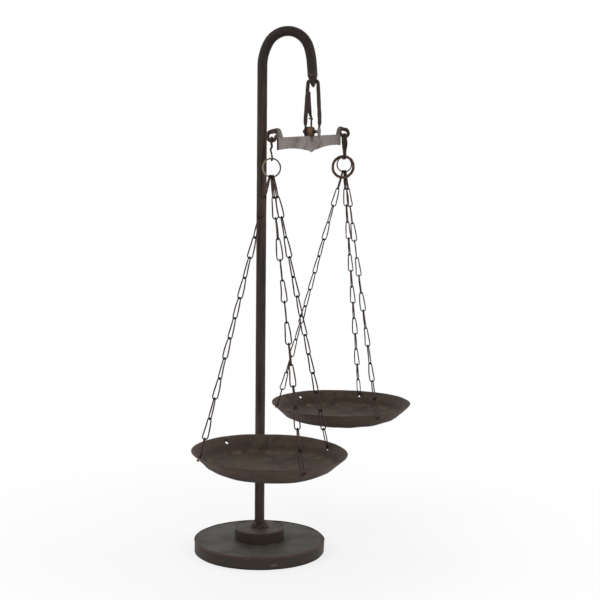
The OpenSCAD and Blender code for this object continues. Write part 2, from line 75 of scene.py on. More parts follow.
# Hooks and rings, with the play where wires hang in one another and where rings lie on the strip
LEFT_HOOK, RIGHT_HOOK, HOOK_WIRE_R, STRIP_T, STRIP_W = 23.6, 32, 1.5, 2.5, 4.6
RING_WIRE_R, LEFT_RING_R, RIGHT_RING_R = 1.1, 12.4, 11.85
BALANCE_WIRE_R, BALANCE_R, BALANCE_Y, BALANCE_LEAN = 2.35, 17.0, -5.4, 9
SEAT, STRIP_SEAT = 0.2, 0.5

# The pans: their walls flare at 45 degrees, and HOLE_IN is how far in and down from the rim a hole is
RIM_Z, LEFT_RIM_R, RIGHT_RIM_R = 201, 108, 113.5
LEFT_WALL, RIGHT_WALL, LEFT_TILT, RIGHT_TILT = 1.375, 1.2, 1.2, 0
FLARE, PAN_DEPTH, HOLE_IN, PAN_HOLE_R = 20.5, 27, 10.7 * np.cos(rad(45)), 2.5
LEFT_ANGLES, RIGHT_ANGLES, EMPTY_ANGLE = (214, 312, 50), (198, 86, 316), 144

# The chains: links from ring to pan, the bends of a link, half the overlap of two links, the step between
# two chains on the ring, how far inside the wall the tail starts and how high it rides in its hole
LINKS, WIRE_R, LINK_TOP_R, LINK_END_R = 14, 0.9, 2.4, 4
KNOT_HALF, KNOT_STEP, TAIL_BACK, TAIL_RIDE = 1.0, 2.6, 2.4, 0.85


def in_xz(line):
    """Points drawn as x and z, with y = 0."""
    return np.stack([line[:, 0], 0 * line[:, 0], line[:, 1]], -1)


def in_yz(line, at):
    """Points drawn as y and z, moved to a point."""
    return np.stack([0 * line[:, 0], line[:, 0], line[:, 1]], -1) + at


def crook_line():
    """Middle line of the bar: up the pole, three arcs p = c + r(-cos h, sin h) that each turn the
    heading h from its start to its end, and a straight end down past the hole. Gives the points,
    the height above the hole measured along the end, the hole's middle and the last heading."""
    x, z, h = 0.0, float(POLE_TOP), 0.0
    parts = [np.stack([np.zeros(90), np.linspace(FOOT_T, POLE_TOP, 90)], -1)[:-1]]
    for r, a in BENDS:
        t = rad(np.linspace(h, h + a, 12 + int(a / 2.5)))
        centre = np.array([x + r * np.cos(t[0]), z - r * np.sin(t[0])])
        arc = centre + r * np.stack([-np.cos(t), np.sin(t)], -1)
        parts.append(arc[:-1])
        (x, z), h = arc[-1], h + a
    fine_from, tip = DROP - 12, DROP + 10.35
    way = np.concatenate([np.linspace(0, fine_from, 8)[:-1], np.linspace(fine_from, tip, 46)])
    heading = np.array([np.sin(rad(h)), np.cos(rad(h))])
    end = np.array([x, z]) + way[:, None] * heading
    above_hole = np.concatenate([np.full(sum(map(len, parts)), FAR_ABOVE), DROP - way])
    hole = np.array([x, 0, z]) + DROP * np.array([heading[0], 0, heading[1]])
    return in_xz(np.concatenate(parts + [end])), above_hole, hole, h


BAR_LINE, BAR_ABOVE_HOLE, HOLE_AT, HEADING = crook_line()

# Where the shackle's wire hangs in the bar's hole, and the fulcrum
HANG = HOLE_AT - [0, 0, HOLE_R - SHACKLE_R - HANG_GAP]
PIVOT = HANG - [SHACKLE_SHIFT, 0, SHACKLE_DROP]


def on_beam(points):
    """Points of the beam's own drawing, turned to the angle at which it lies and set at the fulcrum."""
    return turned(points, X, LIE) + PIVOT


LEFT_EYE = on_beam(np.array([-EYE_OFFSET, -ARM, EYE_Z - EYE_R]))
RIGHT_EYE = on_beam(np.array([EYE_OFFSET, ARM, EYE_Z - EYE_R]))

# Middles of the rings, the strip's level floor, and middles of the pans' rims
LEFT_RING = LEFT_EYE - [0, 0, LEFT_HOOK + LEFT_RING_R]
RIGHT_RING = RIGHT_EYE - [0, 0, RIGHT_HOOK + RIGHT_RING_R]
STRIP_FLOOR = RIGHT_EYE[2] - RIGHT_HOOK - RING_WIRE_R - STRIP_SEAT
BALANCE_RING = np.array([RIGHT_EYE[0], RIGHT_EYE[1] + BALANCE_Y,
                         STRIP_FLOOR + BALANCE_WIRE_R + STRIP_SEAT - BALANCE_R])
LEFT_PAN = np.array([LEFT_EYE[0], LEFT_EYE[1], RIM_Z])
RIGHT_PAN = np.array([RIGHT_EYE[0], RIGHT_EYE[1], RIM_Z])


def hole_place(rim_r, angle):
    """Middle of a pan's hole at an angle, from the middle of the rim."""
    r = rim_r - HOLE_IN
    return np.array([r * np.cos(rad(angle)), r * np.sin(rad(angle)), -HOLE_IN])


def wall_way(angle, up):
    """Unit direction at an angle round the pan: up the flared wall for 1, square out of it for -1."""
    return np.array([np.cos(rad(angle)), np.sin(rad(angle)), up]) * np.sqrt(0.5)


# Surfaces
def dents(points, length, seed, waves=10):
    """Hammer marks: the sum of cosine waves cos(2 pi d.p / l + f) over the root of their number, with random
    directions d, lengths l near the one asked for and phases f. Mostly between -1 and 1."""
    rng = np.random.default_rng(seed)
    d = unit(rng.normal(size=(waves, 3))) / (length * rng.uniform(0.7, 1.6, (waves, 1)))
    return np.cos(TURN * (points @ d.T) + rng.uniform(0, TURN, waves)).sum(-1) / np.sqrt(waves)


def ringed(line, across, a, b, power=2.0, closed=False, count=16):
    """Rings of points round a line: p = line + a s(cos f) e1 + b s(sin f) e2, with
    s(c) = sign(c) |c|^(2 / power), e2 the part of the given cross direction that is square to the line and
    e1 = e2 x tangent."""
    if closed:
        tangent = unit(np.roll(line, -1, -2) - np.roll(line, 1, -2))
    else:
        tangent = unit(np.gradient(line, axis=-2))
    across = np.broadcast_to(across, line.shape)
    e2 = unit(across - (across * tangent).sum(-1, keepdims=True) * tangent)
    e1 = np.cross(e2, tangent)
    f = np.arange(count) / count * TURN
    k = 2 / np.broadcast_to(power, line.shape[:-1])[..., None]
    c = np.sign(np.cos(f)) * np.abs(np.cos(f)) ** k
    s = np.sign(np.sin(f)) * np.abs(np.sin(f)) ** k
    a, b = (np.broadcast_to(v, line.shape[:-1])[..., None] for v in (a, b))
    return line[..., None, :] + (a * c)[..., None] * e1[..., None, :] + (b * s)[..., None] * e2[..., None, :]


def wear(points, length, seed):
    """How much metal is worn off: (1 + dents) / 2, but never below 0, so that wear never adds metal."""
    return np.maximum((1 + dents(points, length, seed)) / 2, 0)


def worn(rings, line, depth, length, seed):
    """Rings pulled towards their line by depth times wear."""
    return rings - unit(rings - line[..., None, :]) * (depth * wear(rings, length, seed))[..., None]


def mesh_of(name, shells):
    """A mesh of several closed shells. A shell is a grid of rows of points; each row is a closed ring, and
    the rows either close on themselves or end in a fan to the middle of the last ring. Shells whose volume
    comes out negative are turned round."""
    corners, faces, start = [], [], 0
    for rows, looped in shells:
        n, m = rows.shape[:2]
        index = np.arange(n * m).reshape(n, m)
        nxt = np.roll(index, -1, 0) if looped else index[1:]
        low = index if looped else index[:-1]
        quads = np.stack([low, np.roll(low, -1, 1), np.roll(nxt, -1, 1), nxt], -1).reshape(-1, 4)
        points = rows.reshape(-1, 3)
        fans = np.zeros((0, 3), int)
        if not looped:
            points = np.concatenate([points, rows[[0, -1]].mean(1)])
            first, last = index[0], index[-1]
            fans = np.concatenate([
                np.stack([np.full(m, n * m), np.roll(first, -1), first], -1),
                np.stack([np.full(m, n * m + 1), last, np.roll(last, -1)], -1)])
        tri = np.concatenate([quads[:, :3], quads[:, [0, 2, 3]], fans])
        p = points[tri] - points.mean(0)
        volume = np.einsum("ij,ij->i", p[:, 0], np.cross(p[:, 1], p[:, 2])).sum()
        if volume < 0:
            quads, fans = quads[:, ::-1], fans[:, ::-1]
        corners.append(points)
        faces += (quads + start).tolist() + (fans + start).tolist()
        start += len(points)
    mesh = bpy.data.meshes.new(name)
    mesh.from_pydata(np.concatenate(corners) * MM, [], faces)
    mesh.shade_smooth()
    return mesh


def bore(piece, tools):
    """Cuts each tool, a mesh, out of the piece."""
    for mesh in tools:
        tool = bpy.data.objects.new("tool", mesh)
        bpy.context.scene.collection.objects.link(tool)
        cut = piece.modifiers.new("bore", "BOOLEAN")
        cut.operation, cut.solver, cut.object = "DIFFERENCE", "EXACT", tool
        graph = bpy.context.evaluated_depsgraph_get()
        done = bpy.data.meshes.new_from_object(piece.evaluated_get(graph))
        piece.modifiers.clear()
        piece.data = done
        bpy.data.objects.remove(tool)


def rod(p, q, r, flare=0.0, count=24):
    """Round tool from p to q, radius r + flare t^2 with t from -1 to 1 along it."""
    t = np.linspace(-1, 1, 13)
    line = p + (q - p) * ((t + 1) / 2)[:, None]
    side = X if abs(unit(q - p)[0]) < 0.8 else Y
    wide = r + flare * t ** 2
    return mesh_of("tool", [(ringed(line, side, wide, wide, count=count), False)])


def add_piece(name, shells, body, material, nodes, tools=(), crisp=None):
    """A visible piece: bored by its tools, smooth but for edges sharper than crisp degrees."""
    piece = bpy.data.objects.new(name, mesh_of(name, shells))
    bpy.context.scene.collection.objects.link(piece)
    bore(piece, tools)
    if crisp:
        piece.data.set_sharp_from_angle(angle=rad(crisp))
    piece.data.materials.clear()
    piece.data.materials.append(material)
    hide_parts(*nodes)
    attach(piece, body)


def spun(profile, count):
    """A profile of radius and height carried round the upright axis."""
    f = np.arange(count) / count * TURN
    r, z = profile[:, 0, None], profile[:, 1, None]
    return np.stack(np.broadcast_arrays(r * np.cos(f), r * np.sin(f), z), -1)


def even(line, step):
    """The same line with points at even steps."""
    way = np.concatenate([[0], np.cumsum(np.linalg.norm(np.diff(line, axis=0), axis=1))])
    at = np.linspace(0, way[-1], max(int(way[-1] / step), 8))
    return np.stack([np.interp(at, way, line[:, k]) for k in range(line.shape[1])], -1)


def outline(corners, rounding, step=1.0):
    """An open polyline with its corners rounded by b(t) = (1-t)^2 p + 2t(1-t) c + t^2 q, where p and q lie a
    rounding away from the corner c, as points at even steps along it."""
    corners = np.asarray(corners, float)
    rounding = np.broadcast_to(rounding, len(corners))
    t = np.linspace(0, 1, 9)[:, None]
    parts = [corners[:1]]
    for i in range(1, len(corners) - 1):
        c = corners[i]
        p = c + unit(corners[i - 1] - c) * rounding[i]
        q = c + unit(corners[i + 1] - c) * rounding[i]
        parts.append((1 - t) ** 2 * p + 2 * t * (1 - t) * c + t ** 2 * q)
    return even(np.concatenate(parts + [corners[-1:]]), step)


# Finishes
def tone(r, g, b):
    """A colour given as it looks on screen, 0 to 255, made linear."""
    c = np.array([r, g, b]) / 255
    return tuple(np.where(c <= 0.04045, c / 12.92, ((c + 0.055) / 1.055) ** 2.4)) + (1.0,)


class Value:
    """A node's output. Where it is a number that varies over the surface, an expression on it adds its
    Math nodes."""

    def __init__(self, graph, socket):
        self.graph, self.socket = graph, socket

    def _join(self, operation, first, second):
        return self.graph.node("ShaderNodeMath", {"operation": operation}, [first, second])

    def __add__(self, other):
        return self._join("ADD", self, other)

    def __sub__(self, other):
        return self._join("SUBTRACT", self, other)

    def __mul__(self, other):
        return self._join("MULTIPLY", self, other)

    def __truediv__(self, other):
        return self._join("DIVIDE", self, other)

    def __rsub__(self, other):
        return self._join("SUBTRACT", other, self)

    def __pow__(self, other):
        return self._join("POWER", self, other)

    def under(self, other):
        return self._join("MINIMUM", self, other)

    def step(self, low, high):
        """0 below low, 1 above high, smooth between."""
        return self.graph.node("ShaderNodeMapRange", {"interpolation_type": "SMOOTHSTEP"},
                               {"Value": self, "From Min": low, "From Max": high})

    __radd__, __rmul__ = __add__, __mul__


class Graph:
    """The node tree of a material or a world."""

    def __init__(self, owner):
        owner.use_nodes = True
        self.nodes, self.links = owner.node_tree.nodes, owner.node_tree.links

    def node(self, kind, settings, inputs, output=0):
        """Adds a node with its settings and inputs, by name or place, and gives one of its outputs."""
        made = self.nodes.new(kind)
        for key, value in settings.items():
            setattr(made, key, value)
        pairs = inputs.items() if isinstance(inputs, dict) else enumerate(inputs)
        for key, value in pairs:
            if isinstance(value, Value):
                self.links.new(value.socket, made.inputs[key])
            else:
                made.inputs[key].default_value = value
        return Value(self, made.outputs[output])


class Finish(Graph):
    """A material made of nodes on the piece's own Object coordinates, in metres, from a centre."""

    def __init__(self, name, centre=(0, 0, 0)):
        self.material = bpy.data.materials.new(name)
        super().__init__(self.material)
        place = self.node("ShaderNodeTexCoord", {}, {}, "Object")
        self.place = self.node("ShaderNodeMapping", {}, {"Vector": place, "Location": [-c for c in centre]})

    def noise(self, per_metre, detail, rough, place=None, twist=0.0):
        return self.node("ShaderNodeTexNoise", {}, {
            "Vector": place or self.place, "Scale": per_metre, "Detail": detail, "Roughness": rough,
            "Distortion": twist})

    def part(self, which):
        return self.node("ShaderNodeSeparateXYZ", {}, [self.place], which)

    def blend(self, share, first, second):
        """The first colour where the share is 0 and the second where it is 1. A Mix node's colours are its
        inputs 6 and 7 and its output 2."""
        return self.node("ShaderNodeMix", {"data_type": "RGBA"}, {0: share, 6: first, 7: second}, 2)

    def show(self, colour, roughness, height, depth, metal):
        """Sends colour, roughness and relief to the shader; depth is the relief's height in metres."""
        bump = {"Height": height, "Distance": depth, "Strength": 1.0}
        relief = self.node("ShaderNodeBump", {}, bump, "Normal")
        inputs = self.nodes["Principled BSDF"].inputs
        for key, value in (("Base Color", colour), ("Roughness", roughness), ("Normal", relief)):
            self.links.new(value.socket, inputs[key])
        inputs["Metallic"].default_value = metal
        inputs["Specular IOR Level"].default_value = 0.2
        return self.material


def distance(*parts):
    """The root of the sum of the squares."""
    total = parts[0] * parts[0]
    for part in parts[1:]:
        total = total + part * part
    return total ** 0.5


def rusted(name, dark, main, light, rust, rust_share=0.35, patch=30, grain=220, pits=900, metal=0.35,
           depth=0.0005, marks=()):
    """Old iron: dark and light clouds, rust that gathers in the low spots, and small pits. Patch, grain and
    pits are how many there are in a metre. Each mark is a share over the surface and the tone it brings."""
    f = Finish(name)
    clouds = f.noise(patch, 5, 0.6, twist=0.4)
    mottle = f.noise(grain, 5, 0.65)
    pit = f.noise(pits, 3, 0.6)
    colour = f.blend((clouds * 0.6 + mottle * 0.4).step(0.36, 0.54), dark, main)
    colour = f.blend((mottle * 0.7 + clouds * 0.3).step(0.5, 0.68), colour, light)
    more = 0.3 * rust_share
    eaten = (mottle * 0.45 + f.noise(patch * 2.3, 4, 0.6) * 0.55).step(0.62 - more, 0.78 - more)
    colour = f.blend(eaten * 0.85, colour, rust)
    for share, stain in marks:
        colour = f.blend((share(f) * (0.5 + mottle)).under(1.0), colour, stain)
    specks = pit.step(0.36, 0.3)
    colour = f.blend(specks * 0.5, colour, tuple(np.array(dark) * [0.5, 0.5, 0.5, 1]))
    smoothest, roughest = 0.5, 0.85
    roughness = (eaten * 0.5 + mottle * 0.5) * (roughest - smoothest) + smoothest
    height = mottle * 0.55 + pit * 0.3 + clouds * 0.5 - specks * 0.25
    return f.show(colour, roughness, height, depth, metal)


def rim_rust(height, radius, width):
    """Rust along the upper edge of a disc: where both the height and the radius come near the edge."""
    def along_edge(f):
        x, y, z = (f.part(k) for k in range(3))
        high = z.step((height - width) * MM, height * MM)
        return high * distance(x, y).step((radius - width) * MM, radius * MM)
    return along_edge


def between(axis, low, high, soft):
    """1 where the coordinate along an axis lies from low to high, in millimetres, with soft ends."""
    def band(f):
        at = f.part(axis)
        return at.step((low - soft) * MM, low * MM) * (1 - at.step(high * MM, (high + soft) * MM))
    return band


def both(first, second):
    """Where two marks meet."""
    return lambda f: first(f) * second(f)


def near(centre, reach, soft):
    """1 within reach of a point, falling to 0 over the soft distance; a third as far up and down."""
    def spot(f):
        x, y, z = (f.part(k) - centre[k] * MM for k in range(3))
        return 1 - distance(x, y, z * 3).step(reach * MM, (reach + soft) * MM)
    return spot


def bar_iron():
    """Blackened bar: bands drawn out along its length and round the crook, browner on the pole, painted shade
    that makes it nearly black over the crook, rusty where it enters the foot."""
    f = Finish("bar_iron")
    x, y, z = (f.part(k) for k in range(3))
    bend_x, bend_z = 0.045, 0.738
    over = z.step(0.70, 0.75)
    off = x * (1 - over) + (bend_x - distance(x - bend_x, z - bend_z)) * over
    along = f.node("ShaderNodeCombineXYZ", {}, [off, y, z * 0.07 + x * over * 0.05])
    bands = f.noise(150, 4, 0.55, along)
    mottle = f.noise(260, 4, 0.6)
    pit = f.noise(900, 3, 0.6)
    colour = f.blend(bands.step(0.36, 0.56), tone(34, 24, 20), tone(56, 43, 37))
    colour = f.blend(((bands * 0.6 + mottle * 0.4).step(0.52, 0.7)) * 0.7, colour, tone(72, 59, 51))
    # Painted shade: the crook darkened nearly to black.
    colour = f.blend(over * (0.35 + mottle * 0.6), colour, tone(30, 24, 21))
    foot = 1 - z.step(0.04, 0.075)
    colour = f.blend(foot * (0.3 + mottle * 0.7), colour, tone(66, 42, 35))
    rust = f.noise(60, 5, 0.65).step(0.6, 0.72)
    colour = f.blend(rust * 0.4, colour, tone(66, 42, 34))
    roughness = mottle * 0.25 + 0.36
    return f.show(colour, roughness, bands * 0.5 + mottle * 0.4 + pit * 0.2, 0.0004, 0.3)


FOOT = rusted(
    "foot_iron", tone(48, 44, 40), tone(70, 66, 61), tone(84, 79, 73), tone(78, 60, 50), rust_share=0.1,
    patch=14, grain=120, pits=700, marks=[
        # Painted shade: the side of the foot darker than its top.
        (between(2, 2.5, FOOT_T - 2.5, 1.5), tone(56, 49, 44)),
        # Painted shade: darker still along the bottom edge, where the foot meets the floor.
        (between(2, -1, 1.5, 2), tone(38, 34, 34)),
        (rim_rust(FOOT_T, FOOT_R, 3.4), tone(77, 58, 50)),
        (near((49, -87, 7), 1, 7), tone(92, 90, 74))])
HUB = rusted(
    "hub_iron", tone(44, 38, 32), tone(74, 66, 60), tone(94, 86, 80), tone(80, 58, 48), rust_share=0.2,
    patch=25, grain=160, pits=700, marks=[
        # Painted shade: the hub's side darker than its top.
        (between(2, FOOT_T, HUB_TOP - 2.5, 1.2), tone(56, 47, 39)),
        (rim_rust(HUB_TOP, HUB_R, 2.6), tone(78, 59, 51))])
WELD = rusted(
    "weld_iron", tone(26, 19, 17), tone(50, 38, 34), tone(104, 88, 80), tone(58, 40, 34), rust_share=0.2,
    patch=60, grain=300, depth=0.001)
BAR = bar_iron()
PLATE = rusted(
    "beam_iron", tone(86, 76, 72), tone(122, 112, 108), tone(140, 131, 127), tone(98, 76, 60),
    rust_share=0.12, patch=26, grain=260, pits=1100, metal=0.4, marks=[
        (both(between(1, -9, 3, 9), between(2, PIVOT[2] - 8, PIVOT[2] + 2, 12)), tone(76, 58, 46)),
        # Painted shade: both end faces of the plate darkened.
        (between(1, -PLATE_HALF - 9, -PLATE_HALF + 0.4, 1.5), tone(56, 43, 37)),
        (between(1, PLATE_HALF - 2, PLATE_HALF + 9, 2), tone(56, 43, 37))])
NECK = rusted(
    "neck_iron", tone(36, 26, 22), tone(58, 45, 39), tone(92, 78, 68), tone(80, 55, 40), rust_share=0.3,
    patch=60, grain=300, marks=[
        (between(1, -PLATE_HALF - 1, -150, 3), tone(100, 93, 82)),
        (between(1, 150, PLATE_HALF - 3, 3), tone(88, 76, 66))])
SHACKLE = rusted(
    "shackle_iron", tone(34, 26, 23), tone(56, 46, 42), tone(76, 65, 62), tone(70, 48, 38), rust_share=0.25,
    patch=45, grain=260, marks=[
        (both(between(0, PIVOT[0] + 7.5, PIVOT[0] + 14, 1), between(2, PIVOT[2] - 14, PIVOT[2] + 4, 2)),
         tone(122, 110, 105))])
KNUCKLE = rusted(
    "knuckle_rust", tone(44, 28, 20), tone(104, 76, 48), tone(138, 108, 72), tone(70, 47, 32),
    patch=110, grain=420, pits=1200, depth=0.001, marks=[
        # Painted shade: the barrel darkened at both ends, outside a golden middle band.
        (lambda f: 1 - between(0, PIVOT[0] - 3.2, PIVOT[0] + 2.2, 1.8)(f), tone(46, 32, 25))])
HOOK = rusted(
    "hook_iron", tone(34, 24, 20), tone(58, 44, 36), tone(92, 72, 56), tone(86, 58, 40),
    patch=90, grain=400, pits=1300)
BALANCE = rusted(
    "balance_iron", tone(38, 26, 20), tone(70, 51, 40), tone(100, 77, 58), tone(92, 60, 42),
    patch=90, grain=400, pits=1300)
RUST_RING = rusted(
    "ring_rust", tone(38, 28, 22), tone(72, 57, 43), tone(104, 88, 64), tone(84, 58, 38),
    patch=70, grain=420, pits=1300, marks=[
        (between(0, LEFT_RING[0] - 14, LEFT_RING[0] - 7, 3), tone(128, 118, 92))])
STUD = rusted(
    "stud_rust", tone(38, 27, 24), tone(74, 55, 48), tone(98, 79, 72), tone(78, 50, 40), rust_share=0.3,
    patch=150, grain=500, pits=1300)


def pan_iron(name, centre, rim_r, angles):
    """Sheet iron of a pan: grey-brown clouds, a painted ochre highlight along the crease with painted shade
    in a band above it, dark rings round the holes, a redder front wall with painted bluish shade at its lower
    edge, and a thin rusty lip."""
    f = Finish(name, centre=tuple(c * MM for c in centre))
    x, y, z = (f.part(k) for k in range(3))
    far = distance(x, y)
    crease = (rim_r - FLARE) * MM
    clouds = f.noise(24, 6, 0.62, twist=0.6)
    mottle = f.noise(130, 6, 0.65)
    fine = f.noise(700, 3, 0.6)
    colour = f.blend((clouds * 0.6 + mottle * 0.4).step(0.38, 0.56), tone(48, 38, 31), tone(69, 57, 48))
    colour = f.blend(f.noise(40, 4, 0.6, twist=1.0).step(0.52, 0.68) * 0.7, colour, tone(72, 67, 58))
    ochre = f.noise(60, 6, 0.7, twist=1.5).step(0.54, 0.7)
    colour = f.blend(ochre * 0.45, colour, tone(92, 76, 54))
    # Painted shade: a dark band on the wall just above the crease.
    above = far.step(crease + 0.001, crease + 0.004) * (1 - far.step(crease + 0.006, crease + 0.012))
    colour = f.blend(above * (0.15 + clouds * 0.5), colour, tone(36, 28, 23))
    # Painted highlight: a light ochre line along the crease, broken up by noise.
    line = far.step(crease - 0.007, crease - 0.003) * (1 - far.step(crease - 0.002, crease + 0.002))
    broken = (f.noise(45, 4, 0.6) * 0.6 + mottle * 0.4).step(0.47, 0.62)
    colour = f.blend(line * broken * 0.75, colour, tone(102, 90, 66))
    front = (y / far * -1.0).step(-0.05, 0.35) * far.step(crease - 0.008, crease)
    colour = f.blend(front * (0.25 + f.noise(34, 5, 0.7).step(0.4, 0.62) * 0.5), colour, tone(73, 54, 45))
    # Painted shade: dark and bluish on the front near the crease, along the pan's lower edge.
    below = front * (1 - far.step(crease + 0.001, crease + 0.006))
    colour = f.blend(below * 0.8, colour, tone(38, 38, 44))
    for a in angles:
        hole = hole_place(rim_r, a) * MM
        off = distance(x - hole[0], y - hole[1])
        colour = f.blend((1 - off.step(0.0022, 0.0058)) * 0.8, colour, tone(28, 21, 18))
    lip = z.step(-0.0008, 0.0004)
    colour = f.blend(lip * (0.15 + mottle * 0.8), colour, tone(80, 64, 52))
    specks = fine.step(0.36, 0.3)
    colour = f.blend(specks * 0.5, colour, tone(32, 24, 20))
    roughness = mottle * 0.3 + ochre * 0.1 + 0.5
    height = clouds * 0.7 + mottle * 0.5 + fine * 0.15 - specks * 0.2
    return f.show(colour, roughness, height, 0.0006, 0.35)


LEFT_PAN_IRON = pan_iron("left_pan_iron", LEFT_PAN, LEFT_RIM_R, (*LEFT_ANGLES, EMPTY_ANGLE))
RIGHT_PAN_IRON = pan_iron("right_pan_iron", RIGHT_PAN, RIGHT_RIM_R, (*RIGHT_ANGLES, EMPTY_ANGLE))


def chain_iron(name, knot, d, pitch):
    """Dark iron wire, nearly black where the links meet: dark where cos(2 pi (p - knot).d / pitch) is
    near 1."""
    def meeting(f):
        along = [f.part(k) * (d[k] / (pitch * MM)) for k in range(3)]
        way = along[0] + along[1] + along[2] - float(knot @ d) / pitch
        turns = f.node("ShaderNodeMath", {"operation": "COSINE"}, [way * TURN])
        return turns.step(0.62, 0.92)
    return rusted(name, tone(40, 28, 24), tone(66, 51, 45), tone(90, 74, 68), tone(88, 58, 43),
                  rust_share=0.3, patch=50, grain=350, pits=1400, marks=[(meeting, tone(32, 22, 18))])


# Foot
def disc(radius, low, high, seed, inner=None, edge=1.6, count=160, dome=0.0):
    """A turned disc: its outline carried round the axis, the rim pulled in, the top lowered by dents and
    raised by dome (1 - (r / radius)^2)."""
    middle = inner or 0.5
    corners = [[middle, low], [radius - 1, low], [radius, low + 1],
               [radius, high - 0.2], [radius - 0.2, high], [middle, high]]
    profile = outline(corners, [0, 0.6, 0.6, edge, edge, 0], 1.0 if radius < 60 else 1.7)
    rows = spun(profile, count)
    away = unit(rows * [1, 1, 0])
    outer = np.clip((profile[:, 0] - radius * 0.9) / (radius * 0.1), 0, 1)[:, None]
    rows = rows - away * (0.5 * outer * wear(rows, 35, seed))[..., None]
    top = (profile[:, 1] > high - 2)[:, None]
    crown = dome * (1 - (profile[:, 0] / radius) ** 2)[:, None]
    rows[..., 2] += top * (crown - 0.35 * wear(rows, 28, seed + 1))
    return rows, inner is not None


add_piece("foot_disc", [disc(FOOT_R, 0, FOOT_T, 1, dome=FOOT_CROWN)], "stand", FOOT,
          ["base_disc"], crisp=50)
add_piece("foot_hub", [disc(HUB_R, FOOT_T - 0.3, HUB_TOP, 3, BAR_R - 0.3, 1.2, 112)], "stand",
          HUB, ["hub_disc"], crisp=50)


def bead():
    """Weld round the bar's foot: r = bar + width (1 - t)^1.7 up its height, with lumps that die out at its
    top, and a plain inner face inside the bar."""
    width, height, sunk = 8.4, 14, 0.6
    t = np.linspace(0, 1, 26)
    r = BAR_R - 0.4 + width * (1 - t) ** 1.7
    r[-1] = BAR_R - 0.6
    rows = spun(np.stack([r, HUB_TOP - sunk + height * t], -1), 72)
    lump = dents(rows, 4.6, 5, 16) + 0.7 * dents(rows, 9, 6, 12)
    away = unit(rows * [1, 1, 0])
    rows = rows + away * (0.75 * lump * np.sqrt(np.clip(1 - t, 0, 1))[:, None])[..., None]
    down = np.linspace(HUB_TOP + 13.4, HUB_TOP - sunk, 4)
    inside = spun(np.stack([np.full(4, BAR_R - 0.8), down], -1), 72)
    return np.concatenate([rows, inside]), True


add_piece("foot_bead", [bead()], "stand", WELD, ["foot_weld"])


# Crook bar
def crook():
    """The bar's round section carried along its middle line; near the hole the section turns from a circle
    to a flat tongue, which narrows to a point below the hole as 1 - (depth / 8)^1.8. Heights h are from the
    hole's middle."""
    h = BAR_ABOVE_HOLE
    thick = np.interp(h, [-10.4, -8.4, -3.4, 2, 4.5, 8, 16], [0.5, 1.6, 3.6, 4.85, 6.3, 7.3, 7.5])
    point = 8 * (1.02 - np.clip(-(h + 2.4) / 8, 0, 1) ** 1.8)
    wide = np.where(h < -2.4, point, np.interp(h, [4, 12], [8.0, 7.5]))
    power = np.interp(h, [-4, 2, 12], [4.5, 3.6, 2.0])
    rings = ringed(BAR_LINE, Y, thick, wide, power, count=40)
    return worn(rings, BAR_LINE, 0.12, 26, 11), False


add_piece("crook_bar", [crook()], "stand", BAR, ["crook_rod"],
          [rod(HOLE_AT - 8 * X, HOLE_AT + 8 * X, HOLE_R, 0.9, 40)], 50)


def stud():
    """Head with lumps, domed as r = head sqrt(1 - t^2), on a short shank in the bar's end."""
    head_r, head_h, shank_r, front, above_hole = 3.1, 2.4, 1.4, -8, 8.1
    t = np.linspace(0, 1, 14)
    r = np.concatenate([[shank_r, shank_r, 3.0], head_r * np.sqrt(np.clip(1 - t ** 2, 0.01, 1))])
    rows = spun(np.stack([r, np.concatenate([[-5, -0.6, -0.5], head_h * t])], -1), 28)
    rows = rows + unit(rows * [1, 1, 0]) * (0.25 * dents(rows, 3, 21))[..., None]
    rows = turned(rows, X, 90) + [0, front, above_hole]
    return turned(rows, Y, HEADING - 180) + HOLE_AT, False


add_piece("bar_stud", [stud()], "stand", STUD, ["end_stud"])


# Shackle
def shackle():
    """One wire: up from the left lug, over through the bar's hole and down to the right lug. Each leg is
    round, is drawn to a thin neck above the axle, spreads to a flat lug round it and ends in a point. Its
    half widths a and b are given by the height above the axle."""
    lean = np.degrees(np.arctan2(SHACKLE_SHIFT, SHACKLE_DROP))
    low, top = PIVOT[2] - 12.1, PIVOT[2] + 9
    crest = turned(np.array([[-7.2, 0, 0], [7.6, 0, 0]]), Y, lean) + HANG
    left, right = PIVOT[0] - 9.1, PIVOT[0] + 11.6
    corners = [[left, 0, low], [left, 0, top - 3], [left - 0.3, 0, top + 7], crest[0], crest[1],
               [right + 0.6, 0, top + 7], [right, 0, top - 3], [right, 0, low]]
    line = outline(corners, [0, 3, 4, 4.2, 4.2, 4, 3, 0], 0.6)
    up = line[:, 2] - PIVOT[2]
    a = np.interp(up, [-12.1, -6, 5, 7, 12, 20, 50, 68], [0.7, 1.5, 1.5, 1.4, 2.9, 3.1, 3.0, SHACKLE_R])
    b = np.interp(up, [-12.1, -11, -7, -4, -2, 0, 2, 4, 6.5, 12, 50, 68],
                  [0.5, 1.2, 2.8, 5.8, 6.7, 6.9, 6.7, 5.6, 2.3, 2.9, 3.0, SHACKLE_R])
    rings = ringed(line, Y, a, b, np.interp(up, [5, 11], [3.2, 2]), count=24)
    return worn(rings, line, 0.2, 9, 31), False


add_piece("shackle_loop", [shackle()], "shackle", SHACKLE, ["shackle"],
          [rod(PIVOT - 16 * X, PIVOT + 16 * X, LUG_BORE_R)], 50)


